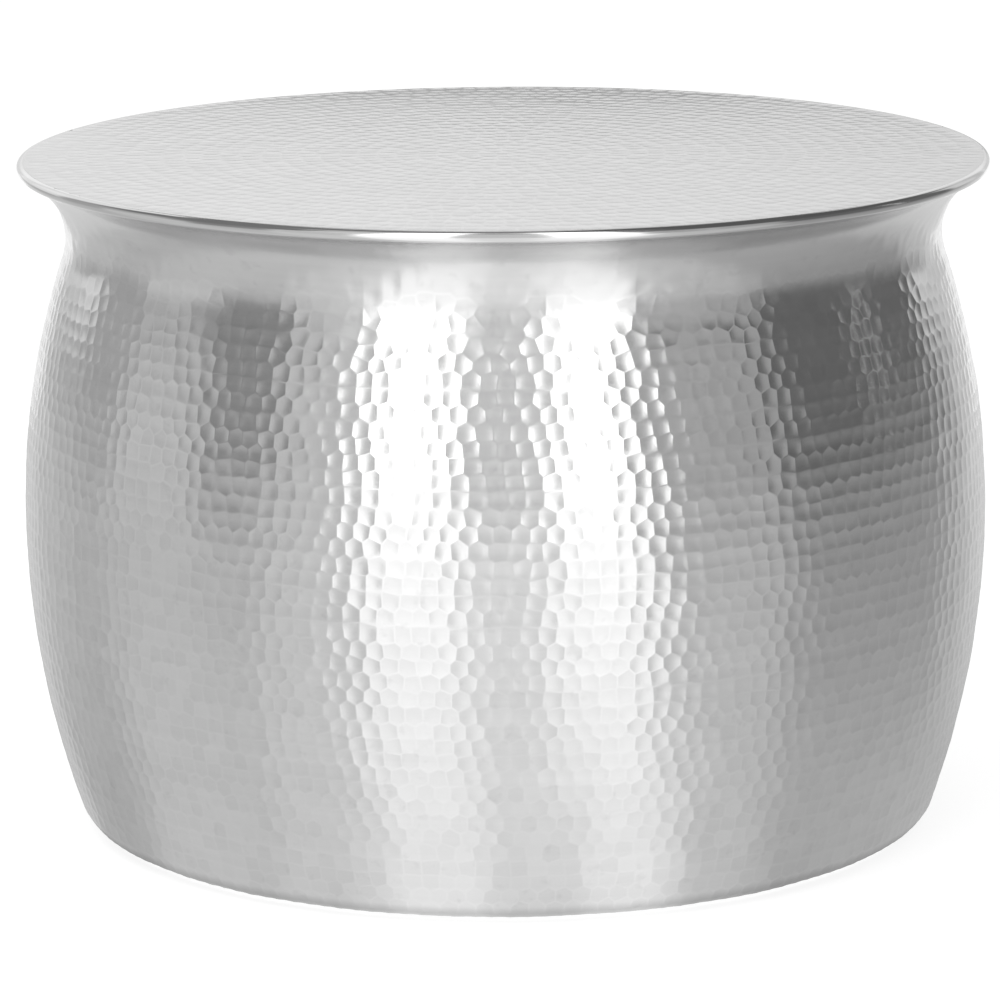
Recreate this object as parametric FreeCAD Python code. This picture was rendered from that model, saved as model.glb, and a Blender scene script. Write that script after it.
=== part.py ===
import FreeCAD, Part

import math
import os

# Hammered aluminium drum side table, in millimetres.
# The origin is on the floor under the middle of the drum, +Z is up, and every
# shape of revolution turns about the Z axis.

# ---- Whole table -----------------------------------------------------------
rim_diameter = 600.0          # over the rolled bead of the top
overall_height = 417.0        # floor to the highest line of the bead

# ---- Drum shell ------------------------------------------------------------
shell_sheet = 1.6             # wall of the hammered sheet
belly_inset = 0.8             # widest ring of the drum, in from the bead's outside
belly_height = 196.0          # floor to the widest ring
lower_belly_arc = 560.0       # radius of the wall below the widest ring
base_corner_arc = 19.5        # radius that turns the wall under at the base
neck_inset = 29.4             # narrowest ring, in from the bead's outside
neck_arc = 42.9               # radius of the hollow that runs from neck to lip
base_flange_width = 26.6      # flat part turned in under the drum
hem_length = 6.0              # width of the folded safe edge round the opening

# ---- Rolled bead on the lip ------------------------------------------------
bead_diameter = 7.0
bead_sheet = 1.0              # wall of the rolled strip
skirt_length = 6.0            # stretch of strip between the bead and the weld
weld_gap = 0.1                # root gap between the skirt and the shell
rim_wire_diameter = 4.6       # core that the strip is rolled round

# ---- Top -------------------------------------------------------------------
disc_sheet = 1.5              # hammered sheet of the top
disc_drop = 0.1               # top disc below the highest line of the bead
disc_gap = 0.15               # seam between the disc and the bead
board_thickness = 12.0        # board that backs the top disc
board_gap = 1.5               # board's edge clear of the flared lip
board_edge_round = 1.0

# ---- Support ring under the board ------------------------------------------
ring_sheet = 2.0
ring_flange = 24.0            # width of the ledge that carries the board
ring_below_neck = 4.0         # upright leg runs this far past the narrowest ring
ring_gap = 0.1                # leg against the neck, where it is spot welded
ring_bend = 2.0               # inside radius of the rolled angle

# ---- Screws that hold the board down on the ring ---------------------------
screw_count = 8
screw_shank_diameter = 4.0
screw_bite = 9.0              # shank inside the board
screw_point = 2.5             # tapered end of the shank
screw_head_diameter = 8.0
screw_head_height = 2.6
screw_head_round = 1.2
screw_slot_width = 1.1
screw_slot_length = 4.6
screw_slot_depth = 1.5
screw_hole_gap = 0.25         # hole in the ring round the shank
pilot_gap = 0.05              # hole in the board round the shank
pilot_extra = 1.0             # pilot hole deeper than the screw's point

# ---- Push-in bumpers under the base ----------------------------------------
bumper_count = 4
bumper_first_angle = 45.0
bumper_stand = 1.5            # head below the base, which lifts the drum
bumper_head_diameter = 17.0
bumper_head_round = 0.6
bumper_stem_diameter = 7.0
bumper_hole_gap = 0.15
bumper_collar_diameter = 10.4
bumper_collar_height = 2.2
bumper_collar_gap = 0.1       # collar above the sheet that it grips
bumper_from_hem = 4.0         # stem's near side to the folded hem

# ---- Derived heights and radii ---------------------------------------------
rim_radius = rim_diameter / 2
bead_radius = bead_diameter / 2
belly_radius = rim_radius - belly_inset
neck_radius = rim_radius - neck_inset
base_z = bumper_stand
bead_z = overall_height - bead_radius
bead_r = rim_radius - bead_radius
disc_top_z = overall_height - disc_drop
board_top_z = disc_top_z - disc_sheet
ring_top_z = board_top_z - board_thickness

AXIS = FreeCAD.Vector(0, 0, 1)
ORIGIN = FreeCAD.Vector(0, 0, 0)
SAME_EDGE = 0.001             # an edge is found by its radius and height within this


# ---- Helpers for sections in the XZ plane ----------------------------------
def at(radius, height):
    """A point of a section, given by its distance from the axis and its height."""
    return FreeCAD.Vector(radius, 0, height)


def on_circle(centre, radius, angle):
    """The point of a section circle at an angle in radians from +X towards +Z."""
    return centre + at(radius * math.cos(angle), radius * math.sin(angle))


def angle_of(vector):
    return math.atan2(vector.z, vector.x)


def arc(centre, radius, start, end):
    """A circular edge from one angle to another, in the order given."""
    middle = (start + end) / 2
    points = [on_circle(centre, radius, a) for a in (start, middle, end)]
    return Part.Arc(*points).toShape()


def line(start, end):
    return Part.LineSegment(start, end).toShape()


def turned(edges, holes=()):
    """Turn a closed section, less its holes, through a full circle about Z."""
    outline = Part.Wire(edges)
    face = Part.Face([outline] + list(holes))
    solid = face.revolve(ORIGIN, AXIS, 360)
    if solid.Volume < 0:
        solid.reverse()
    return solid


def polygon(points):
    return [line(a, b) for a, b in zip(points, points[1:] + points[:1])]


def round_step(radius, low, high):
    """A plain turned disc between two heights."""
    return Part.makeCylinder(radius, high - low, at(0, low), AXIS)


def polar_copies(shape, count, first_angle):
    """Copies of a shape, evenly spaced about the Z axis."""
    copies = []
    for index in range(count):
        copy = shape.copy()
        copy.rotate(ORIGIN, AXIS, first_angle + index * 360.0 / count)
        copies.append(copy)
    return copies


def edges_at(shape, radius, height):
    """The circular edges of a turned solid with this radius and height."""
    found = []
    for edge in shape.Edges:
        curve = edge.Curve
        if not isinstance(curve, Part.Circle):
            continue
        miss = max(abs(curve.Radius - radius), abs(curve.Center.z - height))
        if miss < SAME_EDGE:
            found.append(edge)
    return found


# ---- Drum outline ----------------------------------------------------------
# The wall is a chain of arcs, each tangent to the next: the base corner, the
# lower belly, the upper belly, and the hollow neck that runs out to the bead.
lower_centre = at(belly_radius - lower_belly_arc, belly_height)
corner_rise = belly_height - base_z - base_corner_arc
corner_reach = math.sqrt((lower_belly_arc - base_corner_arc) ** 2 - corner_rise ** 2)
corner_centre = at(lower_centre.x + corner_reach, base_z + base_corner_arc)
corner_end = angle_of(corner_centre - lower_centre)
opening_radius = corner_centre.x - base_flange_width

# The neck's hollow touches the underside of the bead.
neck_centre_r = neck_radius + neck_arc
neck_drop = math.sqrt((neck_arc + bead_radius) ** 2 - (neck_centre_r - bead_r) ** 2)
neck_centre = at(neck_centre_r, bead_z - neck_drop)
bead_centre = at(bead_r, bead_z)
lip_end = angle_of(bead_centre - neck_centre)

# The upper belly has the one radius that touches both its neighbours.
neck_side = neck_centre_r - belly_radius
neck_rise = neck_centre.z - belly_height
upper_belly_arc = (neck_side ** 2 + neck_rise ** 2 - neck_arc ** 2) / (2 * (neck_arc - neck_side))
upper_centre = at(belly_radius - upper_belly_arc, belly_height)
shoulder = angle_of(neck_centre - upper_centre)

skirt_end = lip_end + skirt_length / neck_arc
shell_end = skirt_end + weld_gap / neck_arc


def lip_inside(height):
    """Inner radius of the flared lip at a height above the neck's centre."""
    side = math.sqrt((neck_arc + shell_sheet) ** 2 - (height - neck_centre.z) ** 2)
    return neck_centre_r - side


neck_inside = neck_radius - shell_sheet
bumper_pitch = opening_radius + hem_length + bumper_from_hem + bumper_stem_diameter / 2
ring_outside = neck_inside - ring_gap
ring_inside = ring_outside - ring_flange
ring_bottom_z = neck_centre.z - ring_below_neck
screw_pitch = (ring_inside + ring_outside - ring_sheet) / 2
board_radius = lip_inside(ring_top_z) - board_gap


# ---- Pieces ----------------------------------------------------------------
def make_body_shell():
    """Hammered sheet drum with an inturned base flange and a folded safe edge."""
    t = shell_sheet
    down = -math.pi / 2
    flange_top = base_z + t
    hem_top = base_z + 2 * t
    hem_back = opening_radius + hem_length
    nose = at(opening_radius + t, flange_top)
    neck_start = shoulder + math.pi
    edges = [
        arc(corner_centre, base_corner_arc, down, corner_end),
        arc(lower_centre, lower_belly_arc, corner_end, 0),
        arc(upper_centre, upper_belly_arc, 0, shoulder),
        arc(neck_centre, neck_arc, neck_start, shell_end),
        line(on_circle(neck_centre, neck_arc, shell_end),
             on_circle(neck_centre, neck_arc + t, shell_end)),
        arc(neck_centre, neck_arc + t, shell_end, neck_start),
        arc(upper_centre, upper_belly_arc - t, shoulder, 0),
        arc(lower_centre, lower_belly_arc - t, 0, corner_end),
        arc(corner_centre, base_corner_arc - t, corner_end, down),
        line(at(corner_centre.x, flange_top), at(hem_back, flange_top)),
        line(at(hem_back, flange_top), at(hem_back, hem_top)),
        line(at(hem_back, hem_top), at(nose.x, hem_top)),
        arc(nose, t, math.pi / 2, 3 * math.pi / 2),
        line(at(nose.x, base_z), at(corner_centre.x, base_z)),
    ]
    shell = turned(edges)
    hole_radius = bumper_stem_diameter / 2 + bumper_hole_gap
    hole = Part.makeCylinder(hole_radius, 3 * t, at(bumper_pitch, base_z - t), AXIS)
    for cutter in polar_copies(hole, bumper_count, bumper_first_angle):
        shell = shell.cut(cutter)
    return shell


def make_rim_bead():
    """Strip rolled into a bead, with the short skirt that is welded to the lip."""
    inner_arc = neck_arc + shell_sheet
    to_bead = neck_arc + bead_radius
    meet = (inner_arc ** 2 + to_bead ** 2 - bead_radius ** 2) / (2 * inner_arc * to_bead)
    join = lip_end + math.acos(meet)
    join_point = on_circle(neck_centre, inner_arc, join)
    touch = lip_end - math.pi
    round_end = angle_of(join_point - bead_centre) % (2 * math.pi)
    edges = [
        arc(neck_centre, neck_arc, skirt_end, lip_end),
        arc(bead_centre, bead_radius, touch, round_end),
        arc(neck_centre, inner_arc, join, skirt_end),
        line(on_circle(neck_centre, inner_arc, skirt_end),
             on_circle(neck_centre, neck_arc, skirt_end)),
    ]
    bore = Part.Circle(bead_centre, FreeCAD.Vector(0, 1, 0), bead_radius - bead_sheet)
    return turned(edges, [Part.Wire(bore.toShape())])


def make_rim_wire():
    """Round wire inside the bead."""
    return Part.makeTorus(bead_r, rim_wire_diameter / 2, at(0, bead_z), AXIS)


def make_top_disc():
    """Sheet top, let in level with the bead, its edge dressed down to the bead's curve."""
    reach = bead_radius + disc_gap
    low, high = [math.pi - math.asin((z - bead_z) / reach) for z in (board_top_z, disc_top_z)]
    return turned([
        line(at(0, board_top_z), on_circle(bead_centre, reach, low)),
        arc(bead_centre, reach, low, high),
        line(on_circle(bead_centre, reach, high), at(0, disc_top_z)),
        line(at(0, disc_top_z), at(0, board_top_z)),
    ])


def make_top_board():
    """Board under the sheet top, with pilot holes for the ring's screws."""
    board = round_step(board_radius, ring_top_z, board_top_z)
    board = board.makeFillet(board_edge_round, edges_at(board, board_radius, ring_top_z))
    pilot_radius = screw_shank_diameter / 2 + pilot_gap
    pilot = Part.makeCylinder(pilot_radius, screw_bite + pilot_extra,
                              at(screw_pitch, ring_top_z), AXIS)
    for cutter in polar_copies(pilot, screw_count, 0):
        board = board.cut(cutter)
    return board


def make_support_ring():
    """Rolled angle: an upright leg on the neck and a ledge under the board."""
    t = ring_sheet
    bend = at(ring_outside - t - ring_bend, ring_top_z - t - ring_bend)
    edges = [
        line(at(ring_inside, ring_top_z), at(ring_outside - t - ring_bend, ring_top_z)),
        arc(bend, ring_bend + t, math.pi / 2, 0),
        line(at(ring_outside, bend.z), at(ring_outside, ring_bottom_z)),
        line(at(ring_outside, ring_bottom_z), at(ring_outside - t, ring_bottom_z)),
        line(at(ring_outside - t, ring_bottom_z), at(ring_outside - t, bend.z)),
        arc(bend, ring_bend, 0, math.pi / 2),
        line(at(bend.x, ring_top_z - t), at(ring_inside, ring_top_z - t)),
        line(at(ring_inside, ring_top_z - t), at(ring_inside, ring_top_z)),
    ]
    ring = turned(edges)
    hole_radius = screw_shank_diameter / 2 + screw_hole_gap
    hole = Part.makeCylinder(hole_radius, 3 * t, at(screw_pitch, ring_top_z - 2 * t), AXIS)
    for cutter in polar_copies(hole, screw_count, 0):
        ring = ring.cut(cutter)
    return ring


def make_board_screws():
    """Pan-head screws, driven up through the ring's ledge into the board."""
    shank_radius = screw_shank_diameter / 2
    head_radius = screw_head_diameter / 2
    head_top = ring_top_z - ring_sheet
    head_bottom = head_top - screw_head_height
    tip = ring_top_z + screw_bite
    screw = turned(polygon([
        at(0, head_bottom),
        at(head_radius, head_bottom),
        at(head_radius, head_top),
        at(shank_radius, head_top),
        at(shank_radius, tip - screw_point),
        at(0, tip),
    ]))
    screw = screw.makeFillet(screw_head_round, edges_at(screw, head_radius, head_bottom))
    for length, width in ((screw_slot_length, screw_slot_width),
                          (screw_slot_width, screw_slot_length)):
        corner = FreeCAD.Vector(-length / 2, -width / 2, head_bottom)
        screw = screw.cut(Part.makeBox(length, width, screw_slot_depth, corner))
    screw.translate(FreeCAD.Vector(screw_pitch, 0, 0))
    return Part.Compound(polar_copies(screw, screw_count, 0))


def make_foot_bumpers():
    """Rubber bumpers: a flat head, a stem through the flange and a collar on top."""
    head_radius = bumper_head_diameter / 2
    stem_radius = bumper_stem_diameter / 2
    collar_radius = bumper_collar_diameter / 2
    collar_bottom = base_z + shell_sheet + bumper_collar_gap
    bumper = turned(polygon([
        at(0, 0),
        at(head_radius, 0),
        at(head_radius, base_z),
        at(stem_radius, base_z),
        at(stem_radius, collar_bottom),
        at(collar_radius, collar_bottom),
        at(stem_radius, collar_bottom + bumper_collar_height),
        at(0, collar_bottom + bumper_collar_height),
    ]))
    bumper = bumper.makeFillet(bumper_head_round, edges_at(bumper, head_radius, 0))
    bumper.translate(FreeCAD.Vector(bumper_pitch, 0, 0))
    return Part.Compound(polar_copies(bumper, bumper_count, bumper_first_angle))


PIECES = {
    "body_shell": make_body_shell,
    "rim_bead": make_rim_bead,
    "rim_wire": make_rim_wire,
    "top_disc": make_top_disc,
    "top_board": make_top_board,
    "support_ring": make_support_ring,
    "board_screws": make_board_screws,
    "foot_bumpers": make_foot_bumpers,
}

os.makedirs("parts", exist_ok=True)
for name, make_piece in PIECES.items():
    piece = make_piece()
    piece.exportStep("parts/" + name + ".step")
    box = piece.BoundBox
    print(f"{name}: {len(piece.Solids)} solids, valid {piece.isValid()}, "
          f"{piece.Volume / 1000:.1f} cm3, z {box.ZMin:.2f} to {box.ZMax:.2f}")
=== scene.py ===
import math

import bpy
import numpy as np
from mathutils import Matrix, Vector
from mathutils.geometry import delaunay_2d_cdt


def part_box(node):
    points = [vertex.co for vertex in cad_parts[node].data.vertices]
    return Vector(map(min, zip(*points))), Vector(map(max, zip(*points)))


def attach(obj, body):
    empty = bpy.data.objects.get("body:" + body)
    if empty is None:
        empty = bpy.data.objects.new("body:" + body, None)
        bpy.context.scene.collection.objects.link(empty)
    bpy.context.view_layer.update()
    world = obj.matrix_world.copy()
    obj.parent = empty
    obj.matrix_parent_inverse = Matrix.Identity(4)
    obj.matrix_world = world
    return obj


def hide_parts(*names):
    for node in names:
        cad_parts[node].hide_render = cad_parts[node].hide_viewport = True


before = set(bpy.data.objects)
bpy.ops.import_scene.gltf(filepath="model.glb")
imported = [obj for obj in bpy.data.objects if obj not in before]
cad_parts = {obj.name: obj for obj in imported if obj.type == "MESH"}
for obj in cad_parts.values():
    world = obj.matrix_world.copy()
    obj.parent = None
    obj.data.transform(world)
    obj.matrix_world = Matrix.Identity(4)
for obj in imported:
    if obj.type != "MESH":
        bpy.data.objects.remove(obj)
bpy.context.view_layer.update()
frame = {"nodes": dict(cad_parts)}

# A hammered aluminium drum side table. Everything is in metres, and azimuths are
# in degrees round +Z: 0 is the camera's side (-Y), and 90 is the right side (+X).
MM = 0.001

# ---- Sizes from the frame --------------------------------------------------
bead_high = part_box("rim_bead")[1]
shell_low, shell_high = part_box("body_shell")
disc_low, disc_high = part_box("top_disc")
RIM_RADIUS = bead_high.x
TOP_Z = bead_high.z
BELLY_RADIUS = shell_high.x
BASE_Z = shell_low.z
DISC_RADIUS = disc_high.x
DISC_LOW_Z = disc_low.z

# ---- Sizes that the solids have too ----------------------------------------
SHEET = 1.6 * MM              # wall of the drum
BELLY_Z = 196 * MM
LOWER_BELLY_ARC = 560 * MM
BASE_CORNER_ARC = 19.5 * MM
BASE_FLANGE = 26.6 * MM       # flat part turned in under the drum
HEM = 6 * MM                  # folded safe edge round the opening
NECK_INSET = 29.4 * MM        # narrowest ring, in from the bead's outside
NECK_ARC = 42.9 * MM
BEAD_RADIUS = 3.5 * MM
SKIRT = 6 * MM                # strip between the bead and the weld

# ---- Hammer marks ----------------------------------------------------------
WALL_MARK = 10.4 * MM         # across a mark, round the drum
WALL_ROW = 9.8 * MM           # from one ring of marks to the next
WALL_ROWS = 39
WALL_FIRST_ROW = 9 * MM       # lowest ring, along the wall from the flat of the base
WALL_HAMMER = 52 * MM         # radius of the hammer's face against the wall
WALL_BLOW = 6.2 * MM          # radius of the hollow that one blow leaves
WALL_SPREAD = 2               # marks that a ring may have over or under its share
WALL_SWAY = 0.14              # how far a blow strays round the drum, in marks
WALL_STRAY = 0.09             # how far rings and blows stray up and down, in rows
DRIFT_WAVES = (1, 4)          # a ring drifts in 1 to 3 waves: the end is left out
DRIFT_PHASE = 7               # radians over which those waves may start
LAST_ROW_STRETCH = 1.2        # the marks of the top ring run out this much longer
SHOULDER_FADE = 26 * MM       # over which the marks grow faint below the neck
FAINT = 0.2                   # depth that is left where they end
END_ROWS = 6                  # rings that follow the uneven end of the marks
LOOSE_ROWS = 3                # last rings, whose marks are set less evenly
LOOSENESS = 3                 # times as far as the others stray
TOP_MARK = 10.8 * MM
TOP_ROW = 12.0 * MM
TOP_HAMMER = 118 * MM
TOP_BLOW = 7 * MM
TOP_SPREAD = 2                # a ring may have a mark over its share: the end is left out
TOP_SWAY = 0.25               # how far a blow strays along its ring, in marks
TOP_STRAY = 0.19              # how far it strays in or out, in rows
TOP_STEP = 0.01 * MM          # from the bead's crest down to the sheet
TOP_SEAM = 0.01 * MM          # between the sheet's edge and the bead
TOP_MARGIN = 1.2 * MM         # plain edge of the top beside the bead
RINGS_IN_MARK = (0.88, 0.5)   # loops of a mark's mesh, as shares of its outline

# ---- Neck ------------------------------------------------------------------
# Distances up the wall, from where the marks end.
NECK_BLEND = 2.2 * WALL_ROW         # over which the last marks die out
NECK_CALM = (8 * MM, 34 * MM)       # over which the neck's waves grow lower
CALMED = 0.7                        # share of their height that goes
DENTS_BEGIN = (-2 * MM, 5 * MM)     # over which the neck's dents appear
DENTS_END = (6 * MM, 26 * MM)       # over which they go

# ---- Meshing ---------------------------------------------------------------
LATHE_STEP = 2.0 * MM         # between rings of the plain stretches
LIP_STEPS = 3                 # last steps of the lip, which grow level for the bead
CORNER_SHARES = (0.6, 0.2, 0.0)     # rings between the lowest marks and the flange
HEM_POINTS = 9                # round the hem's nose
TOP_EDGE_POINTS = 7           # up the edge of the top
SKIRT_POINTS = 6              # along the skirt
JOIN_POINTS = 4               # along the skirt's inside, from the bead
BEAD_STEPS = 40               # round the bead's section
BEAD_COLUMNS = 720
WALL_TABLE = 400              # steps in the table that maps the wall flat
MERGE = 1e-9                  # points of the flat map this close count as one
SHARP = math.radians(40)
SEED = 7

# ---- Low waves -------------------------------------------------------------
# Height, longest and shortest wave, how many waves, seed, and stretch up the wall.
WALL_WAVES = (0.12 * MM, 110 * MM, 24 * MM, 24, SEED)
WALL_BANDS = (0.07 * MM, 240 * MM, 80 * MM, 16, SEED + 8, 0.3)
FADE_WAVES = (14 * MM, 80 * MM, 22 * MM, 12, SEED + 5)    # where marks grow faint
END_WAVES = (3.2 * MM, 160 * MM, 40 * MM, 10, SEED + 7)   # where they end
NECK_WAVES = (0.11 * MM, 60 * MM, 18 * MM, 24, SEED + 1, 1.3)
NECK_DENTS = (0.11 * MM, 22 * MM, 11 * MM, 24, SEED + 6)
TOP_WAVES = (0.02 * MM, 160 * MM, 40 * MM, 10, SEED + 3)
BEAD_WAVES = (0.1 * MM, 260 * MM, 40 * MM, 10, SEED + 4)


# ---- Outline of the wall ---------------------------------------------------
def angle_of(vector):
    return math.atan2(vector.y, vector.x)


def on_circle(centre, radius, angle):
    return centre.x + radius * np.cos(angle), centre.y + radius * np.sin(angle)


lower_centre = Vector((BELLY_RADIUS - LOWER_BELLY_ARC, BELLY_Z))
corner_rise = BELLY_Z - BASE_Z - BASE_CORNER_ARC
corner_reach = math.sqrt((LOWER_BELLY_ARC - BASE_CORNER_ARC) ** 2 - corner_rise ** 2)
corner_centre = Vector((lower_centre.x + corner_reach, BASE_Z + BASE_CORNER_ARC))
corner_end = angle_of(corner_centre - lower_centre)
opening_radius = corner_centre.x - BASE_FLANGE

bead_centre = Vector((RIM_RADIUS - BEAD_RADIUS, TOP_Z - BEAD_RADIUS))
neck_centre_r = RIM_RADIUS - NECK_INSET + NECK_ARC
neck_drop = math.sqrt((NECK_ARC + BEAD_RADIUS) ** 2 - (neck_centre_r - bead_centre.x) ** 2)
neck_centre = Vector((neck_centre_r, bead_centre.y - neck_drop))
lip_end = angle_of(bead_centre - neck_centre)
skirt_end = lip_end + SKIRT / NECK_ARC

neck_side = neck_centre_r - BELLY_RADIUS
neck_rise = neck_centre.y - BELLY_Z
upper_belly_arc = (neck_side ** 2 + neck_rise ** 2 - NECK_ARC ** 2) / (2 * (NECK_ARC - neck_side))
upper_centre = Vector((BELLY_RADIUS - upper_belly_arc, BELLY_Z))
shoulder = angle_of(neck_centre - upper_centre)

# Centre, radius, first angle and last angle of each arc, from the base upwards.
WALL_ARCS = (
    (corner_centre, BASE_CORNER_ARC, -math.pi / 2, corner_end),
    (lower_centre, LOWER_BELLY_ARC, corner_end, 0),
    (upper_centre, upper_belly_arc, 0, shoulder),
    (neck_centre, NECK_ARC, shoulder + math.pi, skirt_end),
)
wall_length = sum(radius * abs(last - first) for _, radius, first, last in WALL_ARCS)


def wall_point(along, out):
    """Radius and z at a distance along the wall's outside, and as far out of it."""
    along, out = np.broadcast_arrays(along, out)
    radius = np.zeros(along.shape)
    height = np.zeros(along.shape)
    start = 0
    for centre, arc_radius, first, last in WALL_ARCS:
        here = along >= start
        turn = math.copysign(1, last - first)
        angle = first + turn * (along[here] - start) / arc_radius
        radius[here], height[here] = on_circle(centre, arc_radius + turn * out[here], angle)
        start += arc_radius * abs(last - first)
    return radius, height


def wrapped(angle):
    """The same direction, from -pi up to pi."""
    return (angle + math.pi) % (2 * math.pi) - math.pi


def smooth(value, low, high):
    """0 below low and 1 above high, with an S-curve between."""
    t = np.clip((value - low) / (high - low), 0, 1)
    return t * t * (3 - 2 * t)


def uneven(theta, along, amount, longest, shortest, count, seed, stretch=1.0):
    """Low waves that hand work leaves in a sheet: the sum of sines of mixed lengths
    and directions. Up the wall they are stretch times as long."""
    rng = np.random.default_rng(seed)
    total = np.zeros(np.broadcast(theta, along).shape)
    for _ in range(count):
        wave = longest * (shortest / longest) ** rng.random()
        way, phase = rng.random(2) * 2 * math.pi
        turns = round(2 * math.pi * BELLY_RADIUS / wave * math.cos(way))
        climb = 2 * math.pi * math.sin(way) / (wave * stretch)
        total += np.sin(turns * theta + climb * along + phase)
    return total * amount / math.sqrt(count)


def round_points(theta, radius, height):
    """Points at these angles round the axis."""
    theta, radius, height = np.broadcast_arrays(theta, radius, height)
    return np.stack([radius * np.cos(theta), radius * np.sin(theta), height], 1)


# ---- Gathering one mesh ----------------------------------------------------
class Shape:
    """Points, faces and two finish values per point, gathered for one mesh."""

    def __init__(self):
        self.points = []
        self.ridge = []
        self.tone = []
        self.quads = []
        self.triangles = []
        self.count = 0

    def add(self, points, ridge=0.5, tone=0.5):
        """Adds points and returns their numbers."""
        points = np.asarray(points)
        self.points.append(points)
        self.ridge.append(np.broadcast_to(ridge, len(points)))
        self.tone.append(np.broadcast_to(tone, len(points)))
        first = self.count
        self.count += len(points)
        return np.arange(first, self.count)

    def add_round(self, theta, radius, height):
        """Adds a ring of points, one at each angle."""
        return self.add(round_points(theta, radius, height))

    def between(self, ring, other):
        """A closed band of quads from one ring of points to the next."""
        quads = [ring, np.roll(ring, -1), np.roll(other, -1), other]
        self.quads.append(np.stack(quads, 1))

    def fan(self, ring, centre):
        """Triangles from a ring of points to one in the middle."""
        self.triangles.append(np.stack([ring, np.roll(ring, -1), np.full(len(ring), centre)], 1))

    def piece(self, name):
        """The object, shaded smooth except at real corners."""
        mesh = bpy.data.meshes.new(name)
        quads = np.concatenate(self.quads)
        triangles = np.concatenate(self.triangles) if self.triangles else np.zeros((0, 3), int)
        corners = np.concatenate([quads.ravel(), triangles.ravel()])
        sizes = np.concatenate([np.full(len(quads), 4), np.full(len(triangles), 3)])
        mesh.vertices.add(self.count)
        mesh.vertices.foreach_set("co", np.concatenate(self.points).astype(np.float32).ravel())
        mesh.loops.add(len(corners))
        mesh.loops.foreach_set("vertex_index", corners.astype(np.int32))
        mesh.polygons.add(len(sizes))
        starts = np.cumsum(sizes) - sizes
        mesh.polygons.foreach_set("loop_start", starts.astype(np.int32))
        mesh.update(calc_edges=True)
        for title, values in (("ridge", self.ridge), ("tone", self.tone)):
            layer = mesh.attributes.new(title, "FLOAT", "POINT")
            layer.data.foreach_set("value", np.concatenate(values).astype(np.float32))
        mesh.shade_smooth()
        mesh.set_sharp_from_angle(angle=SHARP)
        thing = bpy.data.objects.new(name, mesh)
        bpy.context.scene.collection.objects.link(thing)
        return thing


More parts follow.
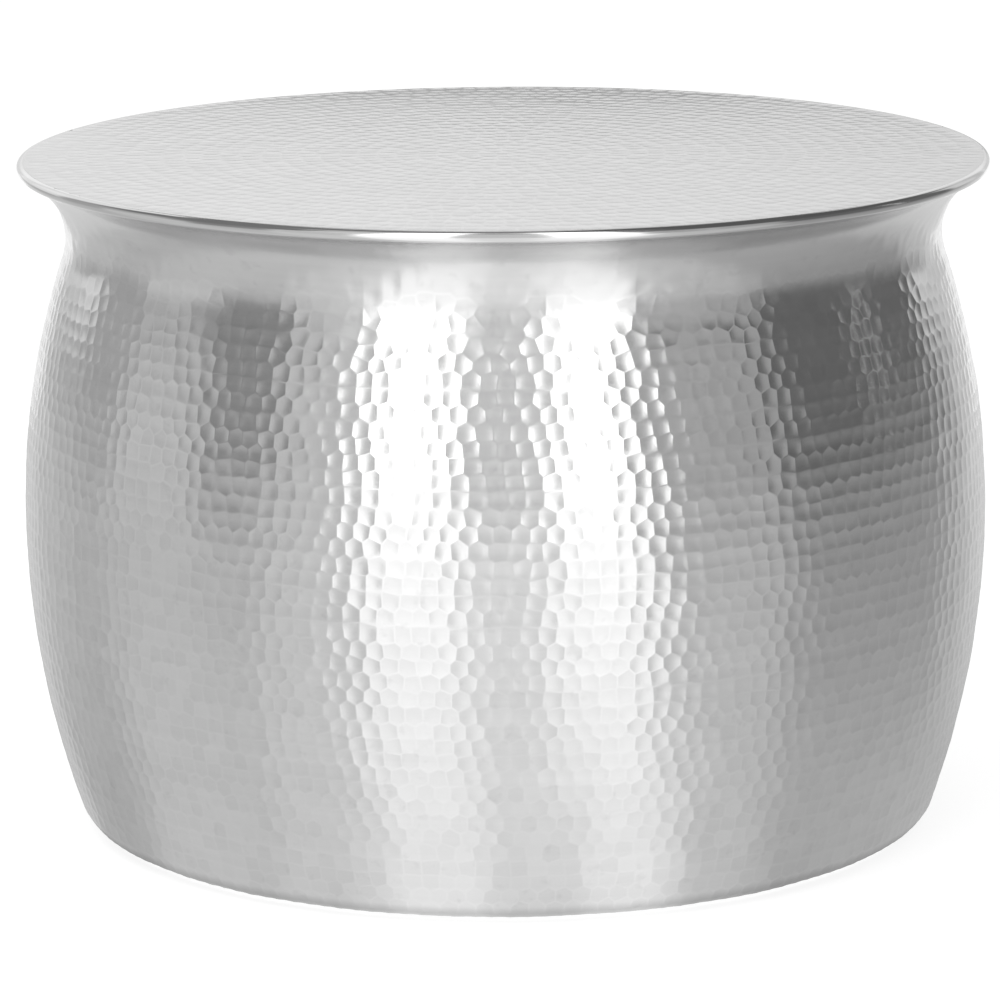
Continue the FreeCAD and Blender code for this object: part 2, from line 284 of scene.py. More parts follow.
# ---- Hammer marks ----------------------------------------------------------
# Each blow leaves a shallow round hollow. Where two hollows meet stands a low
# ridge, halfway between their middles, so the marks are the cells of a Voronoi
# diagram, and each is part of a bowl of the hammer's radius.
class Marks:
    """The cells round a set of blows, on a surface that unrolls locally."""

    def __init__(self, centres, real, plane, unroll, roll):
        """centres are surface places, and plane is a flat map of them that keeps
        angles. real is false for the blows that only bound the others."""
        found = delaunay_2d_cdt([Vector(p) for p in plane], [], [], 0, MERGE)
        source = np.array([ids[0] for ids in found[3]])
        trio = source[np.array(found[2])]
        a = centres[trio[:, 0]]
        b = unroll(centres[trio[:, 1]], a)
        c = unroll(centres[trio[:, 2]], a)
        bb, cc = (b ** 2).sum(1), (c ** 2).sum(1)
        twice = 2 * (b[:, 0] * c[:, 1] - b[:, 1] * c[:, 0])
        middle = np.stack([c[:, 1] * bb - b[:, 1] * cc, b[:, 0] * cc - c[:, 0] * bb], 1)
        middle /= twice[:, None]

        # Each cell's corners in turn, as runs of (cell, triangle) pairs.
        cell = trio.ravel()
        triangle = np.repeat(np.arange(len(trio)), 3)
        keep = real[cell]
        cell, triangle = cell[keep], triangle[keep]
        corner = roll(middle, a)[triangle]
        local = unroll(corner, centres[cell])
        order = np.lexsort((np.arctan2(local[:, 1], local[:, 0]), cell))
        self.cell, triangle, local = cell[order], triangle[order], local[order]
        run_start = np.flatnonzero(np.r_[True, self.cell[1:] != self.cell[:-1]])
        following = np.arange(len(self.cell)) + 1
        following[np.r_[run_start[1:], len(self.cell)] - 1] = run_start

        # One corner point for each triangle used, and one halfway along each ridge.
        used, corner_id = np.unique(triangle, return_inverse=True)
        pair = np.sort(np.stack([triangle, triangle[following]], 1), 1)
        ridge_id = np.unique(pair, axis=0, return_inverse=True)[1].ravel()

        # The neighbour across each ridge, which tells where the marks end.
        near, far = trio[triangle], trio[triangle[following]]
        shared = (near[:, :, None] == far[:, None, :]).any(2) & (near != self.cell[:, None])
        self.neighbour = near[np.arange(len(near)), shared.argmax(1)]

        # Outlines: corner, middle of the ridge, corner and so on, round each cell.
        size = 2 * len(self.cell)
        self.owner = np.repeat(self.cell, 2)
        self.reach = np.empty((size, 2))
        self.reach[0::2] = local
        self.reach[1::2] = (local + local[following]) / 2
        self.following = np.empty(size, int)
        self.following[0::2] = np.arange(1, size, 2)
        self.following[1::2] = 2 * following
        self.point_id = np.empty(size, int)
        self.point_id[0::2] = corner_id
        self.point_id[1::2] = len(used) + ridge_id
        self.centres, self.roll = centres, roll
        self.cells = np.unique(self.cell)

    def build(self, shape, place, hammer, blow, tone, rings, flip=False):
        """Adds the marks to a shape. place turns a surface place and the height
        over the mark's lowest point into a point. A hollow is no wider than its
        blow, which rounds the cell's corners. Returns each outline point's
        number, surface place and height."""
        def level(reach):
            return np.minimum((reach ** 2).sum(1), blow ** 2) / (2 * hammer)

        def faces(*around):
            return np.stack(around[::-1] if flip else around, 1)

        first = np.unique(self.point_id, return_index=True)[1]
        where = self.roll(self.reach[first], self.centres[self.owner[first]])
        rise = level(self.reach[first])
        outline = shape.add(place(where, rise), ridge=1.0)
        ring = outline[self.point_id]
        owner_tone = tone[self.owner]
        for share in rings:
            reach = self.reach * share
            spot = self.roll(reach, self.centres[self.owner])
            inner = shape.add(place(spot, level(reach)), ridge=share ** 2, tone=owner_tone)
            shape.quads.append(faces(ring, ring[self.following], inner[self.following], inner))
            ring = inner
        lowest = self.centres[self.cells]
        bottoms = shape.add(place(lowest, np.zeros(len(lowest))), ridge=0, tone=tone[self.cells])
        bottom_of = np.zeros(len(self.centres), int)
        bottom_of[self.cells] = bottoms
        shape.triangles.append(faces(ring, ring[self.following], bottom_of[self.owner]))
        return outline, where, rise

    def edge(self, beyond, where):
        """The outline points next to the blows named in beyond, sorted round the axis."""
        rim = np.repeat(np.isin(self.neighbour, beyond), 2)
        points = np.unique(np.r_[self.point_id[rim], self.point_id[self.following[rim]]])
        return points[np.argsort(where[points])]


def mean_level(mark, row, hammer):
    """Mean height of a mark over its lowest point, which sets how deep it sits."""
    return mark * row / (4 * math.pi * hammer)


# ---- Drum wall -------------------------------------------------------------
def wall_blows(rng):
    """Blows in rings, each ring with its own count and start, so that marks stand
    now above each other and now staggered. The first and last rings only bound."""
    centres, ring_of = [], []
    for row in range(-1, WALL_ROWS + 1):
        along = WALL_FIRST_ROW + row * WALL_ROW
        if row == WALL_ROWS:
            along += (LAST_ROW_STRETCH - 1) * WALL_ROW
        radius = float(wall_point(max(along, 0), 0)[0])
        count = round(2 * math.pi * radius / WALL_MARK)
        count += rng.integers(-WALL_SPREAD, WALL_SPREAD + 1)
        step = 2 * math.pi / count
        theta = (np.arange(count) + rng.random()) * step
        theta += rng.uniform(-WALL_SWAY, WALL_SWAY, count) * step
        drift = np.sin(rng.integers(*DRIFT_WAVES) * theta + rng.random() * DRIFT_PHASE)
        drift *= WALL_STRAY * WALL_ROW
        stray = rng.uniform(-WALL_STRAY, WALL_STRAY, count) * WALL_ROW
        if row > WALL_ROWS - 1 - LOOSE_ROWS:
            stray *= LOOSENESS
        ending = uneven(theta, 0 * theta, *END_WAVES)
        drift += ending * float(smooth(row, WALL_ROWS - END_ROWS, WALL_ROWS))
        centres.append(np.stack([wrapped(theta), along + drift + stray], 1))
        ring_of.append(np.full(count, row))
    return np.concatenate(centres), np.concatenate(ring_of)


def make_drum_wall():
    """The hammered wall, inside and out, with its neck, lip, base flange and hem."""
    rng = np.random.default_rng(SEED)
    centres, ring_of = wall_blows(rng)
    real = (ring_of >= 0) & (ring_of < WALL_ROWS)
    below = np.flatnonzero(ring_of < 0)
    above = np.flatnonzero(ring_of == WALL_ROWS)

    # A flat map of the wall that keeps angles, in rings round the origin.
    table = np.linspace(-WALL_ROW, wall_length, WALL_TABLE)
    table_radius = wall_point(np.maximum(table, 0), 0)[0]
    steps = np.diff(table) / (table_radius[1:] + table_radius[:-1]) * 2
    table_log = np.r_[0, np.cumsum(steps)]
    spread = np.exp(np.interp(centres[:, 1], table, table_log))
    plane = np.stack([spread * np.cos(centres[:, 0]), spread * np.sin(centres[:, 0])], 1)

    def radius_at(place):
        return np.interp(place[:, 1], table, table_radius)

    def unroll(place, origin):
        turn = wrapped(place[:, 0] - origin[:, 0])
        return np.stack([turn * radius_at(origin), place[:, 1] - origin[:, 1]], 1)

    def roll(local, origin):
        theta = wrapped(origin[:, 0] + local[:, 0] / radius_at(origin))
        return np.stack([theta, origin[:, 1] + local[:, 1]], 1)

    marks = Marks(centres, real, plane, unroll, roll)
    tone = rng.random(len(centres))
    depth = mean_level(WALL_MARK, WALL_ROW, WALL_HAMMER)
    band_top = WALL_FIRST_ROW + (WALL_ROWS - 1) * WALL_ROW

    def relief(where, rise):
        """Height of the hammered face over the smooth wall."""
        theta, along = where[:, 0], where[:, 1]
        patchy = uneven(theta, along, *FADE_WAVES)
        faint = smooth(along + patchy, band_top - SHOULDER_FADE, band_top)
        waves = uneven(theta, along, *WALL_WAVES) + uneven(theta, along, *WALL_BANDS)
        return (rise - depth) * (1 - (1 - FAINT) * faint) + waves

    def outer(where, rise, inset=0):
        radius, height = wall_point(where[:, 1], relief(where, rise) - inset)
        return round_points(where[:, 0], radius, height)

    def inner(where, rise):
        return outer(where, rise, SHEET)

    shape = Shape()
    outline, where, rise = marks.build(shape, outer, WALL_HAMMER, WALL_BLOW, tone, RINGS_IN_MARK)
    inside = marks.build(shape, inner, WALL_HAMMER, WALL_BLOW, tone, (), flip=True)[0]

    # Up the neck, over the lip and down inside it.
    edge = marks.edge(above, where[:, 0])
    theta, start, swell = where[edge, 0], where[edge, 1], relief(where[edge], rise[edge])
    rows = int((wall_length - start.mean()) / LATHE_STEP)
    neck = []
    for step in range(1, rows + 1):
        along = start + (wall_length - start) * step / rows
        up = along - start
        fade = 1 - smooth(up, 0, NECK_BLEND)
        waves = uneven(theta, along, *NECK_WAVES) * (1 - fade)
        waves *= 1 - CALMED * smooth(up, *NECK_CALM)
        dents = uneven(theta, along, *NECK_DENTS) * smooth(up, *DENTS_BEGIN)
        dents *= 1 - smooth(up, *DENTS_END)
        level_lip = 1 - smooth(along, wall_length - LIP_STEPS * LATHE_STEP, wall_length)
        neck.append((along, (swell * fade + waves + dents) * level_lip))
    ring = outline[edge]
    for along, out in neck:
        following = shape.add_round(theta, *wall_point(along, out))
        shape.between(ring, following)
        ring = following
    for along, out in reversed(neck):
        following = shape.add_round(theta, *wall_point(along, out - SHEET))
        shape.between(ring, following)
        ring = following
    shape.between(ring, inside[edge])

    # Inside the base corner, along the flange, round the hem and back underneath.
    edge = marks.edge(below, where[:, 0])
    theta, start, swell = where[edge, 0], where[edge, 1], relief(where[edge], rise[edge])
    flange_top = BASE_Z + SHEET
    hem_top = BASE_Z + 2 * SHEET
    hem_back = opening_radius + HEM
    nose = Vector((opening_radius + SHEET, flange_top))
    turns = np.linspace(math.pi / 2, math.pi * 3 / 2, HEM_POINTS)
    path = [wall_point(start * share, swell * share - SHEET) for share in CORNER_SHARES]
    path += [((corner_centre.x + hem_back) / 2, flange_top), (hem_back, flange_top)]
    path += [(hem_back, hem_top)]
    path += [on_circle(nose, SHEET, turn) for turn in turns]
    path += [((corner_centre.x + nose.x) / 2, BASE_Z)]
    path += [wall_point(start * share, swell * share) for share in reversed(CORNER_SHARES)]
    ring = inside[edge]
    for radius, height in path:
        following = shape.add_round(theta, radius, height)
        shape.between(ring, following)
        ring = following
    shape.between(ring, outline[edge])
    return shape.piece("drum_wall")


# ---- Top -------------------------------------------------------------------
def make_hammered_top():
    """The sheet top, with its rings of fine marks."""
    rng = np.random.default_rng(SEED + 2)
    hammered_radius = DISC_RADIUS - TOP_MARGIN
    rows = int(hammered_radius / TOP_ROW)
    centres, ring_of = [np.zeros((1, 2))], [np.zeros(1, int)]
    for row in range(1, rows + 2):
        radius = hammered_radius - (rows - row + 0.5) * TOP_ROW
        count = round(2 * math.pi * radius / TOP_MARK) + rng.integers(0, TOP_SPREAD)
        step = 2 * math.pi / count
        theta = (np.arange(count) + rng.random()) * step
        theta += rng.uniform(-TOP_SWAY, TOP_SWAY, count) * step
        radius = radius + rng.uniform(-TOP_STRAY, TOP_STRAY, count) * TOP_ROW
        centres.append(np.stack([radius * np.cos(theta), radius * np.sin(theta)], 1))
        ring_of.append(np.full(count, row))
    centres, ring_of = np.concatenate(centres), np.concatenate(ring_of)
    real = ring_of <= rows
    beyond = np.flatnonzero(~real)

    def unroll(place, origin):
        return place - origin

    def roll(local, origin):
        return origin + local

    marks = Marks(centres, real, centres, unroll, roll)
    level = TOP_Z - TOP_STEP
    deepest = level - TOP_BLOW ** 2 / (2 * TOP_HAMMER)

    def place(where, rise):
        theta = np.arctan2(where[:, 1], where[:, 0])
        radius = np.hypot(where[:, 0], where[:, 1])
        waves = uneven(theta, radius, *TOP_WAVES)
        return np.column_stack([where, np.minimum(deepest + rise + waves, level)])

    shape = Shape()
    tone = rng.random(len(centres))
    outline, where, rise = marks.build(shape, place, TOP_HAMMER, TOP_BLOW, tone, RINGS_IN_MARK)
    edge = marks.edge(beyond, np.arctan2(where[:, 1], where[:, 0]))
    theta = np.arctan2(where[edge, 1], where[edge, 0])

    # From the middle of the underside, up the edge that follows the bead, and in.
    reach = BEAD_RADIUS + TOP_SEAM
    turns = [math.pi - math.asin((z - bead_centre.y) / reach) for z in (DISC_LOW_Z, level)]
    path = [(DISC_RADIUS / 4, DISC_LOW_Z)]
    path += [on_circle(bead_centre, reach, turn) for turn in np.linspace(*turns, TOP_EDGE_POINTS)]
    middle = shape.add([(0, 0, DISC_LOW_Z)])[0]
    ring = None
    for radius, height in path:
        following = shape.add_round(theta, radius, height)
        if ring is None:
            shape.fan(following[::-1], middle)
        else:
            shape.between(ring, following)
        ring = following
    shape.between(ring, outline[edge])
    return shape.piece("hammered_top")


# ---- Rolled bead -----------------------------------------------------------
def make_rolled_bead():
    """The polished bead and the short skirt that joins it to the lip."""
    inner_arc = NECK_ARC + SHEET
    to_bead = NECK_ARC + BEAD_RADIUS
    meet = (inner_arc ** 2 + to_bead ** 2 - BEAD_RADIUS ** 2) / (2 * inner_arc * to_bead)
    join = lip_end + math.acos(meet)
    join_r, join_z = on_circle(neck_centre, inner_arc, join)
    round_end = angle_of(Vector((join_r, join_z)) - bead_centre) % (2 * math.pi)
    section = []
    for centre, radius, turns in (
        (neck_centre, NECK_ARC, np.linspace(skirt_end, lip_end, SKIRT_POINTS)),
        (bead_centre, BEAD_RADIUS, np.linspace(lip_end - math.pi, round_end, BEAD_STEPS)[1:]),
        (neck_centre, inner_arc, np.linspace(join, skirt_end, JOIN_POINTS)[1:]),
    ):
        section += [on_circle(centre, radius, turn) for turn in turns]

    shape = Shape()
    theta = np.linspace(-math.pi, math.pi, BEAD_COLUMNS, endpoint=False)
    wander = uneven(theta, 0 * theta, *BEAD_WAVES)
    wander -= wander.max()
    rings = []
    for radius, height in section:
        outside = float(smooth(radius, bead_centre.x, RIM_RADIUS))
        rings.append(shape.add_round(theta, radius + wander * outside, height))
    for ring, following in zip(rings, rings[1:] + rings[:1]):
        shape.between(ring, following)
    return shape.piece("rolled_bead")


# ---- Materials -------------------------------------------------------------
USUAL = (0.3, 0.7)            # where most of a noise's values lie
LINES = (0.25, 0.75)          # the same for the rolling lines, which are rougher


class Finish:
    """A material built round one Principled shader."""

    def __init__(self, name):
        self.material = bpy.data.materials.new(name)
        self.material.use_nodes = True
        self.nodes = self.material.node_tree.nodes
        self.links = self.material.node_tree.links
        self.shader = self.nodes["Principled BSDF"]

    def node(self, kind, settings=None, **inputs):
        """A node with its settings and its input sockets set or linked. Names such as
        _0 give a socket by its number."""
        made = self.nodes.new(kind)
        for key, value in (settings or {}).items():
            setattr(made, key, value)
        for key, value in inputs.items():
            socket = made.inputs[int(key[1:])] if key[1:].isdigit() else made.inputs[key]
            self.feed(socket, value)
        return made

    def feed(self, socket, value):
        if isinstance(value, bpy.types.NodeSocket):
            self.links.new(value, socket)
        else:
            socket.default_value = value

    def set(self, **inputs):
        for key, value in inputs.items():
            self.feed(self.shader.inputs[key.replace("_", " ")], value)

    def attribute(self, name):
        return self.node("ShaderNodeAttribute", {"attribute_name": name}).outputs["Fac"]

    def place(self, stretch=(1, 1, 1)):
        """The point in the part's own frame, stretched."""
        coordinates = self.node("ShaderNodeTexCoord").outputs["Object"]
        scaled = self.node("ShaderNodeMapping", _0=coordinates, Scale=stretch)
        return scaled.outputs["Vector"]

    def noise(self, vector, scale, detail=3.0, roughness=0.55):
        made = self.node("ShaderNodeTexNoise", Vector=vector, Scale=scale, Detail=detail,
                         Roughness=roughness)
        return made.outputs["Fac"]

    def ranged(self, value, low, high, to_low, to_high):
        """value moved from one range to another, and kept inside it."""
        made = self.node("ShaderNodeMapRange", _0=value, _1=low, _2=high, _3=to_low, _4=to_high)
        return made.outputs["Result"]

    def swing(self, noise, amount):
        """A noise's usual range, as minus amount to plus amount."""
        return self.ranged(noise, *USUAL, -amount, amount)

    def math(self, operation, first, second):
        return self.node("ShaderNodeMath", {"operation": operation}, _0=first, _1=second).outputs[0]

    def total(self, first, *others):
        for other in others:
            first = self.math("ADD", first, other)
        return first

    def grey(self, value):
        made = self.node("ShaderNodeCombineColor", Red=value, Green=value, Blue=value)
        return made.outputs["Color"]

    def mixed(self, share, first, second):
        """One colour to the other. The node's colour sockets are 6, 7 and 2."""
        made = self.node("ShaderNodeMix", {"data_type": "RGBA"}, _0=share, _6=first, _7=second)
        return made.outputs[2]

    def bump(self, height, distance, strength):
        made = self.node("ShaderNodeBump", Height=height, Distance=distance, Strength=strength)
        return made.outputs["Normal"]


def hammered_finish(name, shade, roughness, streaks):
    """Buffed aluminium: brighter and smoother on the ridges, with a tone of its own for
    each mark, faint stains and fine rubbed streaks."""
    f = Finish(name)
    cloud = f.noise(f.place(), scale=5.0, detail=4.0)
    streak = f.noise(f.place(streaks), scale=1.0, detail=4.0, roughness=0.6)
    grain = f.noise(f.place(), scale=900.0, detail=2.0)
    stain = f.noise(f.place(), scale=120.0, detail=2.0)
    tone = f.attribute("tone")
    ridge = f.attribute("ridge")
    level = f.total(
        f.swing(cloud, 0.018),
        f.swing(streak, 0.014),
        f.ranged(tone, 0.0, 1.0, -0.022, 0.022),
        f.ranged(ridge, 0.6, 1.0, 0.0, 0.02),
        f.ranged(stain, 0.6, 0.75, 0.0, -0.04),
        shade,
    )
    rough = f.total(
        f.ranged(cloud, *USUAL, -0.02, 0.03),
        f.ranged(ridge, 0.5, 1.0, 0.0, -0.04),
        f.swing(streak, 0.025),
        roughness,
    )
    scratch = f.total(f.math("MULTIPLY", streak, 0.6), f.math("MULTIPLY", grain, 0.4))
    f.set(Base_Color=f.grey(level), Metallic=1.0, Roughness=rough,
          Normal=f.bump(scratch, distance=0.02 * MM, strength=0.35))
    return f.material


def polished_finish(shade, roughness):
    """Bright polished bead with faint lines along it."""
    f = Finish("polished_bead")
    line = f.noise(f.place((2, 2, 900)), scale=1.0)
    cloud = f.noise(f.place(), scale=18.0)
    level = f.total(f.swing(cloud, 0.03), shade)
    rough = f.total(f.ranged(line, *USUAL, -0.02, 0.04), roughness)
    f.set(Base_Color=f.grey(level), Metallic=1.0, Roughness=rough,
          Normal=f.bump(line, distance=0.01 * MM, strength=0.25))
    return f.material


def brushed_finish(name, shade, roughness):
    """Mill-finished metal with rolling lines."""
    f = Finish(name)
    line = f.noise(f.place((40, 40, 700)), scale=1.0, detail=4.0, roughness=0.65)
    cloud = f.noise(f.place(), scale=9.0, detail=4.0)
    level = f.total(f.ranged(line, *LINES, -0.04, 0.04), f.swing(cloud, 0.04), shade)
    rough = f.ranged(line, *LINES, roughness - 0.06, roughness + 0.08)
    f.set(Base_Color=f.grey(level), Metallic=1.0, Roughness=rough,
          Normal=f.bump(line, distance=0.03 * MM, strength=0.4))
    return f.material


def board_finish(dark, pale):
    """Raw fibreboard: pressed fibres in two browns."""
    f = Finish("fibreboard")
    fibre = f.noise(f.place((60, 420, 420)), scale=1.0, detail=5.0, roughness=0.7)
    cross = f.noise(f.place((420, 60, 420)), scale=1.0, detail=5.0, roughness=0.7)
    cloud = f.noise(f.place(), scale=14.0, detail=4.0)
    felt = f.math("MULTIPLY", f.total(fibre, cross), 0.5)
    clouded = f.total(felt, f.math("MULTIPLY", cloud, 0.3))
    colour = f.mixed(f.ranged(clouded, 0.45, 0.85, 0.0, 1.0), dark, pale)
    f.set(Base_Color=colour, Roughness=f.ranged(felt, *USUAL, 0.75, 0.9),
          Normal=f.bump(felt, distance=0.15 * MM, strength=0.6))
    return f.material


def rubber_finish(dark, pale):
    """Black moulded rubber with a fine matt grain."""
    f = Finish("black_rubber")
    grain = f.noise(f.place(), scale=1400.0)
    cloud = f.noise(f.place(), scale=60.0)
    colour = f.mixed(f.ranged(cloud, *USUAL, 0.0, 1.0), dark, pale)
    f.set(Base_Color=colour, Roughness=f.ranged(grain, *USUAL, 0.6, 0.8),
          Normal=f.bump(grain, distance=0.05 * MM, strength=0.5))
    return f.material


def dress(thing, finish):
    thing.data.materials.clear()
    thing.data.materials.append(finish)


# ---- Studio ----------------------------------------------------------------
ROOM_LIGHT = 1.0              # world, as the camera and the metal see it
FILL_LIGHT = 0.55             # world, as it lights the floor and the board
FLOOR_HALF = 14.0
FLOOR_GREY = 0.42
FLOOR_GLOW = 0.80             # the floor's own white
LAMP_SIZE = 2.4
LAMP_WATTS = 30
LAMP_PLACE = (-0.6, -0.8, 2.8)
LAMP_TARGET = (0, 0, 0.2)

# ---- Cards that only the metal sees ----------------------------------------
MIRROR_RADIUS = 0.28          # of the wall that shows the cards
RING_DISTANCE = 1.7
RING_END = 155                # azimuth at which the side cards stop
BEHIND = 20                   # azimuths past 180 that close the gap behind
CEILING_Z = 2.35
SIDE_Z = (0.0, 0.3, 0.42, 0.95, 1.25, CEILING_Z)          # rows of the side cards
CEILING_RADII = (0.01, 0.3, 0.8, 1.2, 1.9, 2.7)
FLOOR_Z = 2 * MM              # of the cards on the floor
FLOOR_NEAR = 0.33             # distance at which NEAR_FLOOR holds
BASE_SHADE = (0.262, 0.27)    # distances over which the shade under the base ends
BASE_SHADE_LIGHT = 0.7        # share of the light inside it
FLOOR_STEPS = (0.2,) + BASE_SHADE + (FLOOR_NEAR, 0.42, 0.54, 0.75, 1.1, RING_DISTANCE)

# Brightness where no card stands.
WHITE = 1.0                   # at the sides
HIGH_WHITE = 0.92             # in the sides' high row
DARK = 0.22                   # above that, and overhead
FAR_GREY = 0.65               # on the floor far off
NEAR_SHADE_GREY = 0.54              # on the floor close by, darker: painted shade from the table

# Cards: first and last azimuth, brightness, and half the width of the soft edges.
STRIPS = ((-33, -13, 2.3, 2), (11, 30.5, 2.3, 2))
SIDE_CARDS = (
    (-150, -126, 0.88, 3),
    (-126, -104, 0.46, 2.5),
    (-104, -54, 0.66, 2.5),
    (-76, -56, 0.31, 2.5),
    (-54, -34, 0.67, 3),
    (-13, 11, 0.7, 1),
    (31, 48, 0.47, 2),
    (48, 67, 0.46, 2),
    (67, 129, 0.16, 2.5),
    (102.4, 103.6, 1.2, 0.4),
    (129, 144, 0.8, 4),
    (143, 153, 0.62, 4),
) + STRIPS
LOW_CARDS = (
    (-152, -126, 0.48, 3),
    (-156, -144, 0.66, 4),
    (-104, -78, 0.72, 4),
    (-76, -56, 0.48, 6),
    (-13, 11, 0.8, 1),
    (67, 129, 0.21, 3),
    (129, 153, 0.42, 3),
    (138, 154, 0.68, 5),
    (-33, -13, 1.6, 2),
    (11, 30.5, 1.6, 2),
)
HIGH_CARDS = ((-146, -126, 1.1, 4), (-125, -92, 0.44, 6), (-88, -58, 0.28, 6))
UPPER_CARDS = (
    (-155, -120, 1.0, 5),
    (-50, -33, 0.8, 3),
    (-14, 12, 0.7, 1),
    (42, 132, 0.12, 6),
    (144, 155, 1.0, 4),
) + STRIPS
CEILING_CARDS = ((42, 150, 0.12, 8), (-38, 34, 0.5, 4))
OVERHEAD_CARDS = CEILING_CARDS + ((-62, -33, 0.6, 5),) + STRIPS
REAR_CEILING = ((-190, -150, 1.0, 8), (150, 190, 1.0, 8))
# Floor cards, near and far: the bright cards in front, brightest at the strips' azimuths, are
# painted pools of light, and the darker ones on the right are painted shade.
NEAR_FLOOR = (
    (-200, -147, 0.66, 5),
    (-108, 68, 0.72, 12),
    (-60, -38, 0.8, 5),
    (-40, 46, 0.94, 5),
    (-30, -5, 1.12, 5),
    (20, 40, 1.1, 5),
)
FAR_FLOOR = (
    (-220, -146, 0.77, 5),
    (146, 220, 0.79, 5),
    (-125, -106, 0.58, 6),
    (-72, -57, 0.6, 6),
    (-57, -36, 0.75, 5),
    (36, 69, 0.6, 5),
    (69, 130, 0.37, 8),
    (-12, 10, 0.95, 3),
    (-35, -10, 1.45, 4),
    (9, 35, 1.45, 4),
)

# The card far behind the table: its places, and brightness up it and along it.
BACK_Y = 4.6
BACK_X = (-3.2, -0.7, 0.0, 0.7, 3.2)
BACK_Z = (0.0, 0.9, 1.5, CEILING_Z)
BACK_UP = (0.78, 0.78, 1.06, 1.06)
BACK_ALONG = (1.03, 1.03, 1.0, 0.93, 0.93)

# A dark strip close behind the table, which darkens the far side of the top.
REAR_Y = 0.58
REAR_X = (-0.36, -0.27, -0.1, 0.3, 0.42)
REAR_Z = (0.4, 0.468)
REAR_ALONG = (0.95, 0.58, 0.42, 0.38, 0.58)


def seen_rays(nodes, links):
    """1 for camera, glossy and transmission rays, and 0 for the rest."""
    path = nodes.new("ShaderNodeLightPath")
    total = path.outputs["Is Camera Ray"]
    for name in ("Is Glossy Ray", "Is Transmission Ray"):
        largest = nodes.new("ShaderNodeMath")
        largest.operation = "MAXIMUM"
        links.new(total, largest.inputs[0])
        links.new(path.outputs[name], largest.inputs[1])
        total = largest.outputs[0]
    return total


def make_world():
    world = bpy.data.worlds.new("white_room")
    bpy.context.scene.world = world
    world.use_nodes = True
    nodes, links = world.node_tree.nodes, world.node_tree.links
    strength = nodes.new("ShaderNodeMapRange")
    strength.inputs["To Min"].default_value = FILL_LIGHT
    strength.inputs["To Max"].default_value = ROOM_LIGHT
    links.new(seen_rays(nodes, links), strength.inputs[0])
    nodes["Background"].inputs["Color"].default_value = (1, 1, 1, 1)
    links.new(strength.outputs[0], nodes["Background"].inputs["Strength"])


def make_floor():
    """White floor: part of its white is its own, so that the shadow stays pale.
    It is clear from below, so that the underside can be seen."""
    mesh = bpy.data.meshes.new("floor")
    half = FLOOR_HALF
    mesh.from_pydata([(-half, -half, 0), (half, -half, 0), (half, half, 0), (-half, half, 0)],
                     [], [(0, 1, 2, 3)])
    floor = bpy.data.objects.new("floor", mesh)
    bpy.context.scene.collection.objects.link(floor)
    paint = bpy.data.materials.new("floor_white")
    paint.use_nodes = True
    nodes, links = paint.node_tree.nodes, paint.node_tree.links
    nodes.clear()
    matt = nodes.new("ShaderNodeBsdfDiffuse")
    matt.inputs["Color"].default_value = (FLOOR_GREY, FLOOR_GREY, FLOOR_GREY, 1)
    glow = nodes.new("ShaderNodeEmission")
    strength = nodes.new("ShaderNodeMath")
    strength.operation = "MULTIPLY"
    strength.inputs[1].default_value = FLOOR_GLOW
    links.new(seen_rays(nodes, links), strength.inputs[0])
    links.new(strength.outputs[0], glow.inputs["Strength"])
    both = nodes.new("ShaderNodeAddShader")
    links.new(matt.outputs[0], both.inputs[0])
    links.new(glow.outputs[0], both.inputs[1])
    one_sided = nodes.new("ShaderNodeMixShader")
    links.new(nodes.new("ShaderNodeNewGeometry").outputs["Backfacing"], one_sided.inputs[0])
    links.new(both.outputs[0], one_sided.inputs[1])
    links.new(nodes.new("ShaderNodeBsdfTransparent").outputs[0], one_sided.inputs[2])
    out = nodes.new("ShaderNodeOutputMaterial")
    links.new(one_sided.outputs[0], out.inputs["Surface"])
    mesh.materials.append(paint)


def make_overhead():
    """A soft lamp for what isn't metal. The metal shows the cards instead."""
    lamp = bpy.data.lights.new("overhead", "AREA")
    lamp.shape = "SQUARE"
    lamp.size = LAMP_SIZE
    lamp.energy = LAMP_WATTS
    overhead = bpy.data.objects.new("overhead", lamp)
    overhead.location = LAMP_PLACE
    aim = Vector(LAMP_TARGET) - overhead.location
    overhead.rotation_euler = aim.to_track_quat("-Z", "Y").to_euler()
    overhead.visible_glossy = False
    bpy.context.scene.collection.objects.link(overhead)


def lit(azimuth, base, cards):
    """Brightness at each azimuth. Every card covers what stood there before it."""
    level = np.full(azimuth.shape, float(base))
    for first, last, brightness, soft in cards:
        share = smooth(azimuth, first - soft, first + soft)
        share = share * (1 - smooth(azimuth, last - soft, last + soft))
        level += (brightness - level) * share
    return level


def stand(azimuth, distance):
    """X and Y of what the wall shows to the camera at this azimuth. It shows nothing
    straight behind it: azimuths past 180 close that gap."""
    shown = np.clip(azimuth, -180, 180)
    ratio = np.minimum(MIRROR_RADIUS / distance, 1) * np.sin(np.radians(shown / 2))
    turn = np.radians(shown) - np.arcsin(ratio)
    turn += (np.radians(shown) - turn) * np.abs(azimuth - shown) / BEHIND
    return distance * np.sin(turn), -distance * np.cos(turn)


def glow_paint():
    """Shines as each point's light says."""
    paint = bpy.data.materials.new("card")
    paint.use_nodes = True
    nodes, links = paint.node_tree.nodes, paint.node_tree.links
    nodes.clear()
    light = nodes.new("ShaderNodeAttribute")
    light.attribute_name = "light"
    glow = nodes.new("ShaderNodeEmission")
    out = nodes.new("ShaderNodeOutputMaterial")
    links.new(light.outputs["Fac"], glow.inputs["Strength"])
    links.new(glow.outputs[0], out.inputs["Surface"])
    return paint


def column(values):
    """One value for each row of a sheet."""
    return np.array(values)[:, None]


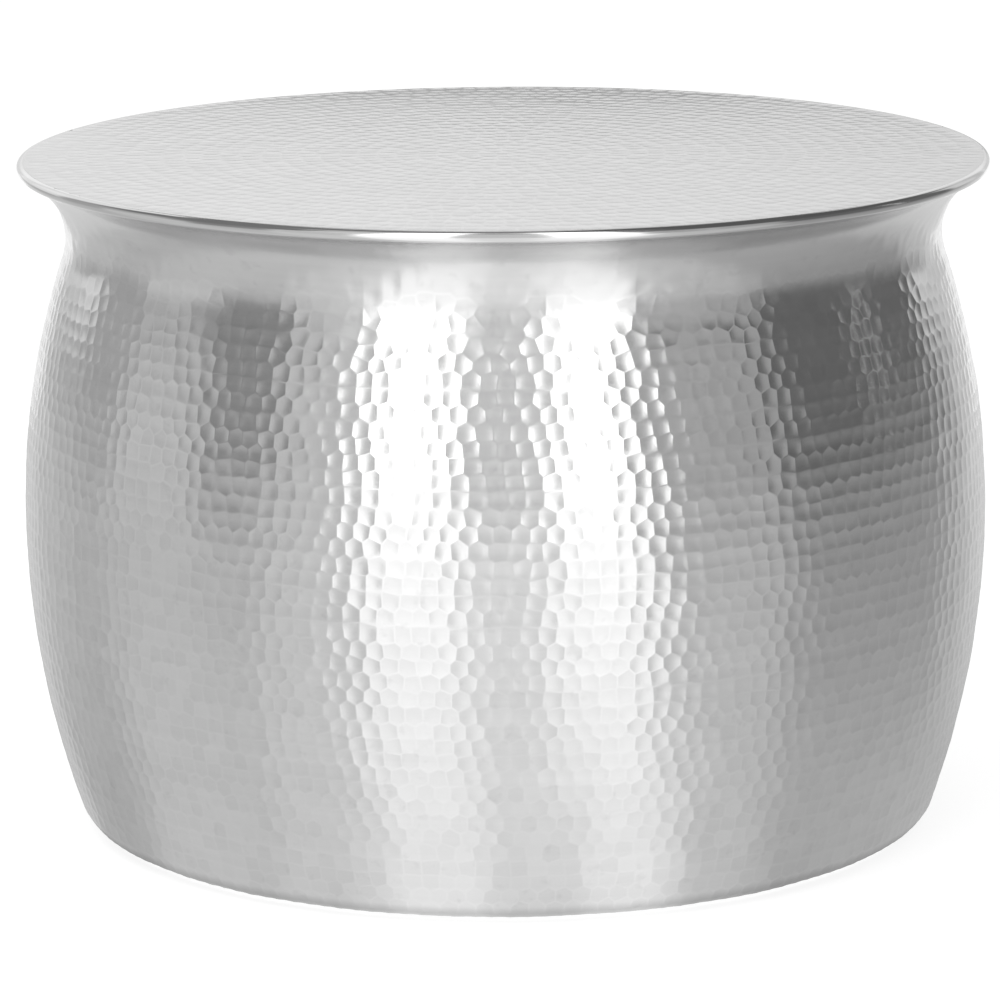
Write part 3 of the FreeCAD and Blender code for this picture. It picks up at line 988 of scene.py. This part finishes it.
def glow_sheet(name, x, y, z, light, paint):
    """A sheet that only the metal sees, from rows of points and their light."""
    rows, columns = light.shape
    mesh = bpy.data.meshes.new(name)
    points = np.stack([np.broadcast_to(v, light.shape) for v in (x, y, z)], -1)
    corner = np.arange(rows * columns).reshape(rows, columns)
    faces = np.stack([corner[:-1, :-1], corner[:-1, 1:], corner[1:, 1:], corner[1:, :-1]], -1)
    mesh.from_pydata(points.reshape(-1, 3).tolist(), [], faces.reshape(-1, 4).tolist())
    layer = mesh.attributes.new("light", "FLOAT", "POINT")
    layer.data.foreach_set("value", light.astype(np.float32).ravel())
    mesh.materials.append(paint)
    thing = bpy.data.objects.new(name, mesh)
    bpy.context.scene.collection.objects.link(thing)
    thing.visible_camera = False
    thing.visible_diffuse = False
    thing.visible_shadow = False


def make_cards():
    """Cards round the table, on the floor, overhead and behind."""
    paint = glow_paint()

    azimuth = np.arange(-RING_END, RING_END + 0.5)
    foot = lit(azimuth, FAR_GREY, FAR_FLOOR)
    low = lit(azimuth, WHITE, SIDE_CARDS + LOW_CARDS)
    side = lit(azimuth, WHITE, SIDE_CARDS)
    high = lit(azimuth, HIGH_WHITE, SIDE_CARDS + HIGH_CARDS)
    upper = lit(azimuth, DARK, UPPER_CARDS)
    light = np.stack([foot, low, side, high, upper, upper])
    glow_sheet("side_cards", *stand(azimuth, RING_DISTANCE), column(SIDE_Z), light, paint)

    azimuth = np.arange(-180.0 - BEHIND, 181.0 + BEHIND)
    distance = column(FLOOR_STEPS)
    # Painted shade: the floor cards grow darker towards the table.
    share = (1 / FLOOR_NEAR - 1 / distance) / (1 / FLOOR_NEAR - 1 / RING_DISTANCE)
    share = np.clip(share, 0, 1)
    near = lit(azimuth, NEAR_SHADE_GREY, NEAR_FLOOR)
    far = lit(azimuth, FAR_GREY, FAR_FLOOR)
    light = near * (1 - share) + far * share
    # Painted shadow under the base: the floor cards glow less there.
    light *= np.interp(distance, BASE_SHADE, (BASE_SHADE_LIGHT, 1))
    glow_sheet("floor_cards", *stand(azimuth, distance), FLOOR_Z, light, paint)

    azimuth = np.arange(-180.0, 181.0, 2.0)
    turn = np.radians(azimuth)
    radius = column(CEILING_RADII)
    centre = np.full(len(turn), DARK)
    middle = lit(azimuth, DARK, CEILING_CARDS)
    overhead = lit(azimuth, DARK, OVERHEAD_CARDS)
    rear = np.maximum(overhead, lit(azimuth, 0, REAR_CEILING))
    light = np.stack([centre, middle, overhead, rear, overhead, overhead])
    glow_sheet("ceiling", radius * np.sin(turn), -radius * np.cos(turn), CEILING_Z, light, paint)

    light = column(BACK_UP) * BACK_ALONG
    glow_sheet("back_card", BACK_X, BACK_Y, column(BACK_Z), light, paint)
    light = np.broadcast_to(REAR_ALONG, (len(REAR_Z), len(REAR_X)))
    glow_sheet("rear_strip", REAR_X, REAR_Y, column(REAR_Z), light, paint)


# ---- Camera ----------------------------------------------------------------
CAMERA_PLACE = (-0.0034, -3.300, 0.9142)
CAMERA_PITCH = 12.255         # degrees below the horizon
CAMERA_ROLL = 0.400           # degrees, right side of the picture up
CAMERA_LENS = 194.05          # mm
CAMERA_SENSOR = 36            # mm
CAMERA_REACH = 100            # beyond which it sees nothing


def make_camera():
    data = bpy.data.cameras.new("camera")
    data.lens = CAMERA_LENS
    data.sensor_width = CAMERA_SENSOR
    data.clip_end = CAMERA_REACH
    camera = bpy.data.objects.new("camera", data)
    tilt = Matrix.Rotation(math.radians(90 - CAMERA_PITCH), 4, "X")
    roll = Matrix.Rotation(math.radians(-CAMERA_ROLL), 4, "Z")
    camera.matrix_world = Matrix.Translation(CAMERA_PLACE) @ tilt @ roll
    bpy.context.scene.collection.objects.link(camera)
    bpy.context.scene.camera = camera


# ---- Putting it together ---------------------------------------------------
make_camera()
wall_finish = hammered_finish("hammered_wall", shade=0.68, roughness=0.19, streaks=(3, 3, 160))
top_finish = hammered_finish("hammered_top", shade=0.62, roughness=0.15, streaks=(14, 14, 14))
bead_finish = polished_finish(shade=0.70, roughness=0.1)
for make, node, slot, finish in (
    (make_drum_wall, "body_shell", "hammered_wall", wall_finish),
    (make_hammered_top, "top_disc", "hammered_top", top_finish),
    (make_rolled_bead, "rim_bead", "polished_rim", bead_finish),
):
    piece = make()
    dress(piece, finish)
    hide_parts(node)
    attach(piece, "root")

nodes = frame["nodes"]
dress(nodes["top_board"], board_finish(dark=(0.24, 0.155, 0.09, 1), pale=(0.46, 0.33, 0.21, 1)))
dress(nodes["support_ring"], brushed_finish("mill_aluminium", shade=0.5, roughness=0.36))
dress(nodes["rim_wire"], brushed_finish("drawn_wire", shade=0.4, roughness=0.3))
dress(nodes["board_screws"], brushed_finish("zinc_plate", shade=0.45, roughness=0.32))
rubber = rubber_finish(dark=(0.022, 0.022, 0.023, 1), pale=(0.05, 0.05, 0.05, 1))
dress(nodes["foot_bumpers"], rubber)

make_world()
make_floor()
make_overhead()
make_cards()
bpy.context.scene.view_settings.view_transform = "Standard"
